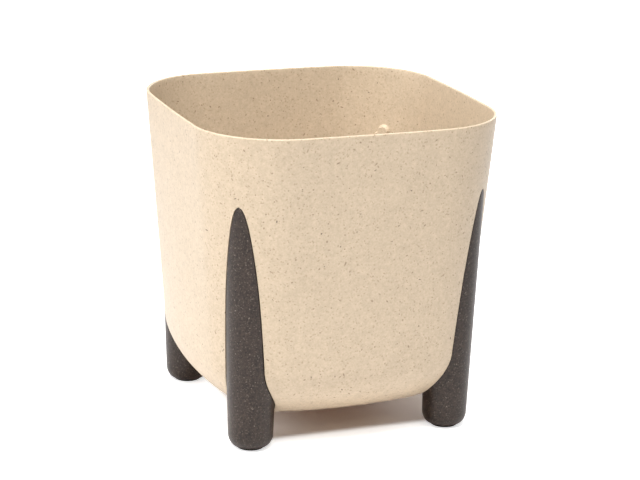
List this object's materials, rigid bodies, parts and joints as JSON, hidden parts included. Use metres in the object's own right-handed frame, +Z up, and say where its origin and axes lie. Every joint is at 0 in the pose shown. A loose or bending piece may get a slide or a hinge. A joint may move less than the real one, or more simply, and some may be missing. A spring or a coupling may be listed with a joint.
{
  "type": "planter",
  "caption": "Square plant pot with rounded corners and a bowl-shaped bottom, raised on separate legs let into its corners, with a drain stopper in its floor.",
  "frame": {"origin": "on the surface that the planter stands on, under the middle of the pot", "axes": "+Z up through the middle of the pot, +X and +Y square to two neighbouring sides, with the front side facing -Y"},
  "size_m": [0.2998, 0.2998, 0.3065],
  "materials": {
    "cream_composite": "satin cream plastic with fine brown fibre specks",
    "dark_composite": "matte dark grey-brown plastic with pale fibre specks",
    "black_rubber": "matte black",
    "zinc_steel": "bright zinc plate"
  },
  "bodies": {
    "planter": {"pot": "cream_composite", "leg_front_left": "dark_composite", "leg_front_right": "dark_composite", "leg_back_right": "dark_composite", "leg_back_left": "dark_composite", "leg_screw_front_left": "zinc_steel", "leg_screw_front_right": "zinc_steel", "leg_screw_back_right": "zinc_steel", "leg_screw_back_left": "zinc_steel", "foot_pad_front_left": "black_rubber", "foot_pad_front_right": "black_rubber", "foot_pad_back_right": "black_rubber", "foot_pad_back_left": "black_rubber"},
    "stopper": {"drain_stopper": "black_rubber"}
  },
  "joints": [
    {"name": "stopper_pull", "type": "slide", "parent": "planter", "child": "stopper", "axis": [0, 0, 1], "range_m": [0, 0.03]}
  ]
}
